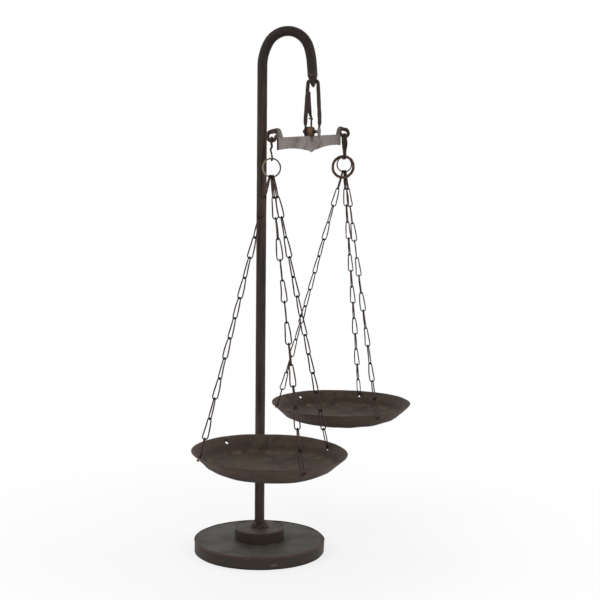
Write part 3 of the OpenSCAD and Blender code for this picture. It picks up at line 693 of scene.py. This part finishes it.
# Beam
def beam_plate():
    """The plate as sections along Y: flat top, and a lower edge that hollows up from each end to a step
    and again to a cusp in the middle: low(y) = chord + sag (1 - u^2) on each stretch, with u from -1 to 1."""
    top, cusp, cusp_rise, step_at, step_z, end_rise, half_t = -6, -30.4, 3.4, 27, -27, 3.6, 1.5
    inner_sag, outer_sag, edge = 0.9, 2.6, 1.2
    out = np.linspace(30, 178, 75)
    ends = PLATE_HALF - np.array([edge, 0.4, 0])
    y = np.concatenate([-ends[::-1], -out[::-1], np.linspace(-28, 28, 57), out, ends])
    d = np.abs(y)
    reach = PLATE_HALF - step_at
    outer = step_z + (d - step_at) / reach * end_rise + outer_sag * (
        1 - ((d - step_at - reach / 2) / (reach / 2)) ** 2)
    inner = cusp + d / step_at * cusp_rise + inner_sag * (1 - ((d - step_at / 2) / (step_at / 2)) ** 2)
    low = np.where(d > step_at, outer, inner)
    end = np.clip(PLATE_HALF - d, 0, edge) / edge
    half = (top - low) / 2 - 0.7 * (1 - end)
    line = np.stack([0 * y, y, (top + low) / 2], -1)
    rings = ringed(np.stack([0 * y, y, 0 * y], -1), Z, half_t - 0.45 * (1 - end), half, 9.0, count=64)
    rings[..., 2] += line[:, None, 2]
    hollow, nibble = wear(rings, 16, 41), wear(rings, 13, 42)
    rings[..., 0] -= 0.22 * np.sign(rings[..., 0]) * hollow
    rings[..., 2] -= 0.25 * np.sign(rings[..., 2] - line[:, None, 2]) * nibble
    return on_beam(rings), False


def carried(line, first):
    """Two cross directions along a line: the first is carried from point to point by taking off the part
    along the tangent, and the second is square to both."""
    tangent = unit(np.gradient(line, axis=0))
    e1 = np.tile(first, (len(line), 1)).astype(float)
    for i, t in enumerate(tangent):
        before = e1[max(i - 1, 0)]
        e1[i] = unit(before - before @ t * t)
    return e1, np.cross(tangent, e1)


def swan_neck(side, seed):
    """The plate's corner drawn up and out like a swan's neck, then curled round an eye in a plane across
    the beam. The neck follows b(t) = (1-t)^3 p + 3t(1-t)^2 q + 3t^2(1-t) r + t^3 s; its section is a broad
    upright oval in the plate that narrows to the round of the bar. The left neck is the right one turned
    half round."""
    r = EYE_CURL_R
    g = rad(np.linspace(100, 382, 64))
    eye = np.stack([EYE_OFFSET - r * np.cos(g), ARM + 0 * g, EYE_Z - EYE_R + r + r * np.sin(g)], -1)
    t = np.linspace(0, 1, 34)[:-1, None]
    root, rise = np.array([0, 158, -17]), np.array([0, 168, 3.5])
    over = eye[0] - 9.5 * unit(eye[1] - eye[0])
    neck = (1 - t) ** 3 * root + 3 * t * (1 - t) ** 2 * rise + 3 * t ** 2 * (1 - t) * over + t ** 3 * eye[0]
    line = np.concatenate([neck, eye])
    e1, e2 = carried(line, X)
    way = np.concatenate([t[:, 0], 1 + np.linspace(0, 1, len(eye))])
    a = np.interp(way, [0, 0.4, 0.75, 1, 1.2, 1.9, 1.96, 2], [1.3, 1.55, 2.5, 3.1, 2.9, 2.6, 2.0, 0.6])
    b = np.interp(way, [0, 0.3, 0.55, 0.8, 1, 1.2, 1.9, 1.96, 2],
                  [8.6, 8.2, 5.4, 3.4, 3.2, 2.9, 2.6, 2.0, 0.6])
    f = np.arange(24) / 24 * TURN
    rings = line[:, None] + (a[:, None] * np.cos(f))[..., None] * e1[:, None] + (
        b[:, None] * np.sin(f))[..., None] * e2[:, None]
    rings = worn(rings, line, 0.35, 7, seed)
    if side < 0:
        rings = rings * [-1, -1, 1]
    return on_beam(rings), False


add_piece("beam_plate", [beam_plate()], "beam", PLATE, ["beam"], crisp=40)
add_piece("beam_necks", [swan_neck(1, 51), swan_neck(-1, 52)], "beam", NECK, ["beam"])


def knuckle():
    """Barrel on the axle with rounded ends and hammered flats, bored for the axle."""
    bore_r, end_r, side_r = 2.75, 6.9, 7.6
    corners = [[bore_r, -7.3], [end_r, -7.3], [side_r, -6.2], [side_r, 2.9], [end_r, 4.0], [bore_r, 4.0]]
    profile = outline(corners, [0, 1, 1, 1, 1, 0], 0.5)
    rows = spun(profile, 48)
    share = np.clip((profile[:, 0] - 4) / 2, 0, 1)[:, None]
    rows = rows - unit(rows * [1, 1, 0]) * (0.7 * wear(rows, 9, 61) * share)[..., None]
    return on_beam(turned(rows, Y, 90)), True


def pointer():
    """Narrow stem with a barb across it, and above the barb a leaf-shaped blade that tapers to its tip. Its
    left and right edges are given by the height above the axle."""
    up = np.concatenate([np.linspace(5.5, 17, 14), np.linspace(17.6, 58.6, 44)])
    at = [5.5, 17, 20, 24, 28, 34, 46, 57, 58.6]
    left = np.interp(up, at, [-2.0, -1.9, -2.0, -4.1, -5.5, -5.17, -4.5, -3.9, -3.2])
    right = np.interp(up, at, [1.2, 1.1, 1.1, 0.6, 0.2, -0.2, -1.0, -1.8, -2.6])
    line = np.stack([(left + right) / 2, 0.2 * np.sin(up / 9), up], -1)
    across = (right - left) / 2
    deep = np.interp(up, [5.5, 20, 57, 58.6], [1.2, 0.9, 0.45, 0.2])
    stem = worn(ringed(line, Y, across, deep, count=14), line, 0.15, 5, 71)
    t = np.linspace(0, 1, 20)
    side = np.stack([2.0 - 6.8 * t, 0 * t, 18.4 + 0.4 * t + 0.6 * t ** 2], -1)
    r = 1.25 - 0.35 * t
    r[-2:] *= [0.8, 0.4]
    barb = ringed(side, Y, r, r, count=12)
    return [(on_beam(stem), False), (on_beam(barb), False)]


add_piece("beam_knuckle", [knuckle()], "beam", KNUCKLE, ["knuckle"], crisp=60)
add_piece("beam_pointer", pointer(), "beam", SHACKLE, ["tongue"])


def axle():
    """Round pin across the fulcrum with domed ends: r = axle sqrt(1 - u^2), with u from 0 to 1 over each."""
    x = np.linspace(-13.4, 13.6, 46)
    u = np.clip((np.abs(x - 0.1) - 12.3) / 1.22, 0, 1)
    r = AXLE_R * np.sqrt(np.clip(1 - u ** 2, 0.02, 1))
    line = np.stack([x, 0 * x, 0 * x], -1)
    return on_beam(worn(ringed(line, Y, r, r, count=24), line, 0.1, 4, 72)), False


add_piece("fulcrum_pin", [axle()], "beam", SHACKLE, ["fulcrum_axle"])


# Hooks and rings
def s_line(length, top_r, low_r, top_from, low_to):
    """Middle line of a hook in the YZ plane: top arc, the straight tangent to both arcs, low arc. The
    straight leans by asin((top + low) / length)."""
    lean = np.degrees(np.arcsin((top_r + low_r) / length))
    a = rad(np.linspace(top_from, 180 + lean, 40))
    b = rad(np.linspace(lean, low_to, 36))
    top = top_r * np.stack([np.cos(a), np.sin(a)], -1)
    low = low_r * np.stack([np.cos(b), np.sin(b)], -1) - [0, length]
    return np.concatenate([top, low])


def left_hook():
    """Round wire bent to an S, kinked halfway down and thinner below the kink."""
    top_r, low_r = EYE_WIRE_R + HOOK_WIRE_R + SEAT, RING_WIRE_R + HOOK_WIRE_R + SEAT
    line = in_yz(even(s_line(LEFT_HOOK, top_r, low_r, -25, -185), 0.6), LEFT_EYE)
    line[:, 0] += np.interp(LEFT_EYE[2] - line[:, 2], [0, 6, 8.5, 12, 16, 22], [0, 0.9, 0.7, -1.3, -0.7, 0])
    t = np.linspace(0, 1, len(line))
    r = HOOK_WIRE_R * np.interp(t, [0, 0.015, 0.04, 0.15, 0.45, 0.6, 0.9, 0.985, 1],
                                [0.3, 0.6, 0.8, 1, 1.15, 0.95, 0.8, 0.5, 0.3])
    return worn(ringed(line, X, r, r, 2.2, count=18), line, 0.25, 5, 81), False


def right_hook():
    """Flat strip bent to an S with a level floor for two rings and a turned-up tip, hammered out wide below
    the eye."""
    play = 0.65
    top_r, low_r, up_r = 5.0, 1.9 + STRIP_T / 2, BALANCE_WIRE_R + play + STRIP_T / 2
    length = RIGHT_EYE[2] - STRIP_FLOOR + STRIP_T / 2 - low_r
    first = s_line(length, top_r, low_r, -15, -90)
    f = rad(np.linspace(-90, -180, 20))
    turn = np.stack([BALANCE_Y + up_r * np.cos(f), up_r - low_r - length + up_r * np.sin(f)], -1)
    tip = turn[-1:] + [[0, 0.5], [0, 2.4]]
    line = in_yz(even(np.concatenate([first, turn, tip]), 0.6), RIGHT_EYE)
    t = np.linspace(0, 1, len(line))
    line[:, 0] += np.interp(t, [0.15, 0.3, 0.45, 0.6], [0, 0.7, 0.7, 0])
    wide = STRIP_W / 2 * np.interp(t, [0, 0.02, 0.12, 0.2, 0.28, 0.4, 0.5, 0.58, 0.8, 0.94, 0.98, 1],
                                   [0.35, 0.7, 0.95, 1.3, 2.1, 2.15, 1.8, 1.35, 1.05, 0.9, 0.65, 0.4])
    thick = STRIP_T / 2 * np.interp(t, [0.2, 0.3, 0.5, 0.6], [1, 0.8, 0.8, 1])
    return worn(ringed(line, X, thick, wide, 4.0, count=20), line, 0.2, 6, 82), False


def wire_ring(centre, r, wire_r, lean, seed):
    """Closed ring of wire in the XZ plane, leaned about its top."""
    f = np.arange(96) / 96 * TURN
    line = r * np.stack([np.sin(f), 0 * f, np.cos(f)], -1)
    rings = worn(ringed(line, Y, wire_r, wire_r, closed=True), line, 0.14 * wire_r, 6, seed)
    return turned(rings - [0, 0, r], X, -lean) + centre + [0, 0, r], True


add_piece("left_s_hook", [left_hook()], "left_hook", HOOK, ["left_hook"])
add_piece("right_s_hook", [right_hook()], "right_hook", HOOK, ["right_hook"])
add_piece("left_wire_ring", [wire_ring(LEFT_RING, LEFT_RING_R, RING_WIRE_R, 0, 83)], "left_ring",
          RUST_RING, ["left_ring"])
add_piece("right_wire_ring", [wire_ring(RIGHT_RING, RIGHT_RING_R, RING_WIRE_R, 0, 84)], "right_ring",
          HOOK, ["right_ring"])
add_piece("thick_balance_ring", [wire_ring(BALANCE_RING, BALANCE_R, BALANCE_WIRE_R, BALANCE_LEAN, 85)],
          "balance_ring", BALANCE, ["balance_ring"])


# Pans
def pan(rim_r, wall, centre, tilt, seed):
    """A dished pan: a shallow bowl, a crease and a wall that flares at 45 degrees. Both faces are the same
    middle surface moved half a wall along its normal, and the middle surface has hammer dents, a rim that
    waves in height and a soft crease that stands higher at two sides than at the other two."""
    crease, dish, sides = rim_r - FLARE, PAN_DEPTH - FLARE, 180
    t = np.linspace(0, 1, 34)[1:]
    bowl = np.stack([crease * t, -PAN_DEPTH + dish * (0.25 * t ** 2 + 0.75 * t ** 3.2)], -1)
    t = np.linspace(0, 1, 17)[1:]
    flare = np.stack([crease + FLARE * t, -FLARE + FLARE * t], -1)
    middle = np.concatenate([bowl, flare])
    middle[30:36] = (middle[29:35] + 2 * middle[30:36] + middle[31:37]) / 4
    along = unit(np.gradient(middle, axis=0))
    normal = np.stack([along[:, 1], -along[:, 0]], -1)
    thick = np.full(len(middle), wall)
    thick[-1] *= 0.55
    middle = middle - normal * wall / 2
    outer, inner = middle + normal * thick[:, None] / 2, middle - normal * thick[:, None] / 2
    rows = spun(np.concatenate([outer, [middle[-1] + 0.3 * along[-1]], inner[::-1]]), sides)
    flat = spun(np.concatenate([middle, middle[-1:], middle[::-1]]), sides)
    way = spun(np.concatenate([normal, normal[-1:], normal[::-1]]), sides)
    angle = np.arange(sides) / sides * TURN
    rows = rows + way * (0.35 * dents(flat, 26, seed) + 0.3 * dents(flat, 55, seed + 1))[..., None]
    far = np.hypot(flat[..., 0], flat[..., 1]) / rim_r
    crimp = np.exp(-((far - crease / rim_r) / 0.13) ** 2) * np.cos(2 * (angle - rad(15)))
    rows[..., 2] += 2.0 * crimp
    rim = np.clip(far, 0, 1) ** 6
    rows[..., 2] += 0.5 * rim * (np.cos(2 * angle + seed) + 0.5 * np.cos(5 * angle + 2 * seed))
    return turned(rows, Y, tilt) + centre, False


def pan_holes(rim_r, centre, tilt, angles):
    """Round tools square to the flared wall at each angle and at the empty hole's."""
    tools = []
    for angle in (*angles, EMPTY_ANGLE):
        at, out = turned(hole_place(rim_r, angle), Y, tilt) + centre, turned(wall_way(angle, -1), Y, tilt)
        tools.append(rod(at - 5 * out, at + 5 * out, PAN_HOLE_R))
    return tools


add_piece("left_dished_pan", [pan(LEFT_RIM_R, LEFT_WALL, LEFT_PAN, LEFT_TILT, 91)], "left_set",
          LEFT_PAN_IRON, ["left_pan"], pan_holes(LEFT_RIM_R, LEFT_PAN, LEFT_TILT, LEFT_ANGLES), 60)
add_piece("right_dished_pan", [pan(RIGHT_RIM_R, RIGHT_WALL, RIGHT_PAN, RIGHT_TILT, 95)], "right_set",
          RIGHT_PAN_IRON, ["right_pan"],
          pan_holes(RIGHT_RIM_R, RIGHT_PAN, RIGHT_TILT, RIGHT_ANGLES), 60)


# Chains
def pear(pitch, rise):
    """Middle line of one link in its own XZ plane, narrow end at -Z, closed: two arcs joined by tangents
    that lean by asin((wide - narrow) / gap)."""
    top_z, end_z = LINK_TOP_R - rise, pitch + KNOT_HALF - LINK_END_R
    lean = np.arcsin((LINK_END_R - LINK_TOP_R) / (end_z - top_z))
    a = np.linspace(np.pi + lean, TURN - lean, 9)
    b = np.linspace(-lean, np.pi + lean, 12)
    top = LINK_TOP_R * np.stack([np.cos(a), np.sin(a)], -1) + [0, top_z]
    end = LINK_END_R * np.stack([np.cos(b), np.sin(b)], -1) + [0, end_z]
    t = np.linspace(0, 1, 7)[1:-1, None]
    ring = np.concatenate([top, top[-1] + (end[0] - top[-1]) * t, end, end[-1] + (top[0] - end[-1]) * t])
    return in_xz(ring)


def tail(pitch, lean_of_wall, side, wall):
    """Middle line of the last link: over the knot, down both legs, which open where they pass the rim and
    close at the hole, through the wall and bent aside on the outside."""
    n = np.array([0, side * np.sin(lean_of_wall), np.cos(lean_of_wall)])
    through = TAIL_BACK + (wall + 2 * WIRE_R) / 2 + SEAT
    f = np.linspace(np.pi / 2, 0, 6)
    over = np.stack([LINK_TOP_R * np.cos(f), 0 * f, LINK_TOP_R - KNOT_HALF - LINK_TOP_R * np.sin(f)], -1)
    leg = np.array([[2.9, 0, pitch - 17], [2.7, 0, pitch - 8], [1.15, 0, pitch]])
    foot = leg[-1] + n * through
    bent = foot + [4.8, 0, 0]
    half = outline(np.concatenate([over, leg, [foot], [bent]]), [0.3] * 6 + [4, 4, 1.2, 1.5, 0], 0.8)
    return np.concatenate([half[::-1] * [-1, 1, 1], half[1:]])


def chain(node, body, knot, centre, rim_r, wall, angle, tilt, seed):
    """A chain from the ring to the hole at an angle of the pan. Link i stands at knot + i pitch d and is
    turned i (90 + twist) degrees about d, with the twist that brings the tail square to the wall."""
    normal, rise = turned(wall_way(angle, -1), Y, tilt), turned(wall_way(angle, 1), Y, tilt)
    hole = turned(hole_place(rim_r, angle), Y, tilt) + centre + TAIL_RIDE * rise
    end = hole - normal * (wall / 2 + TAIL_BACK)
    pitch = np.linalg.norm(end - knot) / LINKS
    d = unit(end - knot)
    w = unit(np.cross(d, np.cross(Y, d)))
    v = np.cross(d, w)
    aside = unit(np.cross(d, normal))
    twist = np.degrees(np.arctan2(aside @ v, aside @ w)) - 90 * (LINKS - 1)
    twist = (twist - 180 * np.round(twist / 180)) / (LINKS - 1)
    spin = rad(np.arange(LINKS) * (90 + twist))
    wide = np.cos(spin)[:, None] * w + np.sin(spin)[:, None] * v
    deep = np.cross(d, wide)
    base = knot + np.arange(LINKS)[:, None] * pitch * d
    rng = np.random.default_rng(seed)

    lines = np.tile(pear(pitch, KNOT_HALF), (LINKS - 1, 1, 1))
    lines[0] = pear(pitch, RING_WIRE_R + WIRE_R + SEAT)
    bow = np.sin(np.pi * np.clip((lines[..., 2] - 2) / (pitch - 6), 0, 1))
    lines[..., 0] *= 1 + bow * rng.uniform(-0.1, 0.16, (LINKS - 1, 1))
    lines[..., 0] += bow * rng.uniform(-0.45, 0.45, (LINKS - 1, 1))
    lines[..., 1] += bow * rng.uniform(-0.35, 0.35, (LINKS - 1, 1))
    thick = WIRE_R * (1.07 + 0.16 * bow + rng.uniform(-0.06, 0.0, (LINKS - 1, 1)))
    rings = ringed(lines, Y, thick, thick, closed=True, count=9)
    rings = worn(rings, lines, 0.07, 3, seed)
    frames = np.stack([wide, deep, np.broadcast_to(d, wide.shape)], -2)
    placed = np.einsum("kabi,kij->kabj", rings, frames[:-1]) + base[:-1, None, None]

    turn = np.arccos(np.clip(normal @ d, -1, 1))
    line = tail(pitch, turn, np.sign(normal @ deep[-1]), wall)
    r = WIRE_R * np.concatenate([[0.35, 0.75, 0.92], np.ones(len(line) - 6), [0.92, 0.75, 0.35]])
    loop = worn(ringed(line, Y, r, r, count=12), line, 0.12, 4, seed + 1)
    last = np.einsum("abi,ij->abj", loop, frames[-1]) + base[-1]
    shells = [(link, True) for link in placed] + [(last, False)]
    add_piece(node + "_wire", shells, body, chain_iron(node + "_iron", knot, d, pitch), [node])


def three_chains(side, letters, ring, ring_r, centre, rim_r, wall, angles, tilt, seed):
    """The chains of one side, knotted side by side at the bottom of the ring."""
    for i, (letter, angle) in enumerate(zip(letters, angles)):
        step = (i - 1) * KNOT_STEP
        knot = ring + [step, 0, -np.sqrt(ring_r ** 2 - step ** 2)]
        chain(f"{side}_chain_{letter}", side + "_set", knot, centre, rim_r, wall, angle, tilt, seed + 2 * i)


three_chains("left", "abc", LEFT_RING, LEFT_RING_R, LEFT_PAN, LEFT_RIM_R, LEFT_WALL, LEFT_ANGLES,
             LEFT_TILT, 101)
three_chains("right", "def", RIGHT_RING, RIGHT_RING_R, RIGHT_PAN, RIGHT_RIM_R, RIGHT_WALL, RIGHT_ANGLES,
             RIGHT_TILT, 107)


# Room, light and camera
def ray_share(graph, *kinds):
    """1 for rays of the kinds named and 0 for the others."""
    share, *others = [graph.node("ShaderNodeLightPath", {}, {}, kind) for kind in kinds]
    for other in others:
        share = graph.node("ShaderNodeMath", {"operation": "MAXIMUM"}, [share, other])
    return share


def floor():
    """Pale floor that melts into the white room: what is seen of it is partly its own lit colour near the
    scale, where it keeps a shadow, and plain white from three quarters of a metre away."""
    half = 9
    material = bpy.data.materials.new("pale_floor")
    graph = Graph(material)
    graph.nodes.clear()
    place = graph.node("ShaderNodeTexCoord", {}, {}, "Object")
    fade = graph.node("ShaderNodeMapRange", {"interpolation_type": "SMOOTHSTEP"}, {
        "Value": graph.node("ShaderNodeVectorMath", {"operation": "LENGTH"}, [place], "Value"),
        "From Min": 0.12, "From Max": 0.75, "To Min": 0.72, "To Max": 1.0})
    mix = graph.node("ShaderNodeMixShader", {}, [
        fade * ray_share(graph, "Is Camera Ray", "Is Glossy Ray"),
        graph.node("ShaderNodeBsdfDiffuse", {}, {"Color": (0.9, 0.9, 0.9, 1)}),
        graph.node("ShaderNodeEmission", {}, {"Strength": 1.0})])
    out = graph.nodes.new("ShaderNodeOutputMaterial")
    graph.links.new(mix.socket, out.inputs["Surface"])
    mesh = bpy.data.meshes.new("floor")
    corners = [(-half, -half, 0), (half, -half, 0), (half, half, 0), (-half, half, 0)]
    mesh.from_pydata(corners, [], [(0, 1, 2, 3)])
    plane = bpy.data.objects.new("floor", mesh)
    mesh.materials.append(material)
    bpy.context.scene.collection.objects.link(plane)


def lamp(name, at, size, watts):
    """A round soft box that faces the middle of the scale."""
    data = bpy.data.lights.new(name, "AREA")
    data.shape, data.size, data.energy = "DISK", size, watts
    box = bpy.data.objects.new(name, data)
    box.location = at
    box.rotation_euler = (Vector((0.05, 0, 0.4)) - Vector(at)).to_track_quat("-Z", "Y").to_euler()
    bpy.context.scene.collection.objects.link(box)


floor()
world = bpy.data.worlds.new("white_room")
bpy.context.scene.world = world
sky = Graph(world)
seen = ray_share(sky, "Is Camera Ray", "Is Glossy Ray", "Is Transmission Ray")
level = sky.node("ShaderNodeMapRange", {}, {"Value": seen, "To Min": 0.8, "To Max": 1.0})
background = sky.nodes["Background"].inputs
background["Color"].default_value = (1, 1, 1, 1)
sky.links.new(level.socket, background["Strength"])
lamp("soft_box_left", (-1.6, -1.9, 2.1), 1.4, 16)
lamp("soft_box_right", (2.2, -0.6, 1.3), 1.0, 12)

# Camera: 15 degrees round from the side, looking down a little and rolled by half a degree. Its focal
# length is in pixels of the photograph, which is 600 pixels wide, and its place in metres.
FOCAL_PX, PHOTO_PX, SENSOR_MM = 1348.407, 600, 36
CAMERA_AT = (0.579354, -1.934407, 0.623846)
azimuth, pitch, roll = rad(15), rad(6.6507), rad(0.5652)
right = np.array([np.cos(azimuth), np.sin(azimuth), 0])
ahead = np.array([-np.sin(azimuth) * np.cos(pitch), np.cos(azimuth) * np.cos(pitch), -np.sin(pitch)])
above = np.cross(right, ahead)
side = right * np.cos(roll) + above * np.sin(roll)
head = above * np.cos(roll) - right * np.sin(roll)
data = bpy.data.cameras.new("camera")
data.sensor_width, data.lens = SENSOR_MM, SENSOR_MM * FOCAL_PX / PHOTO_PX
camera = bpy.data.objects.new("camera", data)
place = np.eye(4)
place[:3, :3] = np.stack([side, head, -ahead], -1)
place[:3, 3] = CAMERA_AT
camera.matrix_world = Matrix(place.tolist())
bpy.context.scene.collection.objects.link(camera)
bpy.context.scene.camera = camera
bpy.context.scene.view_settings.view_transform = "Standard"
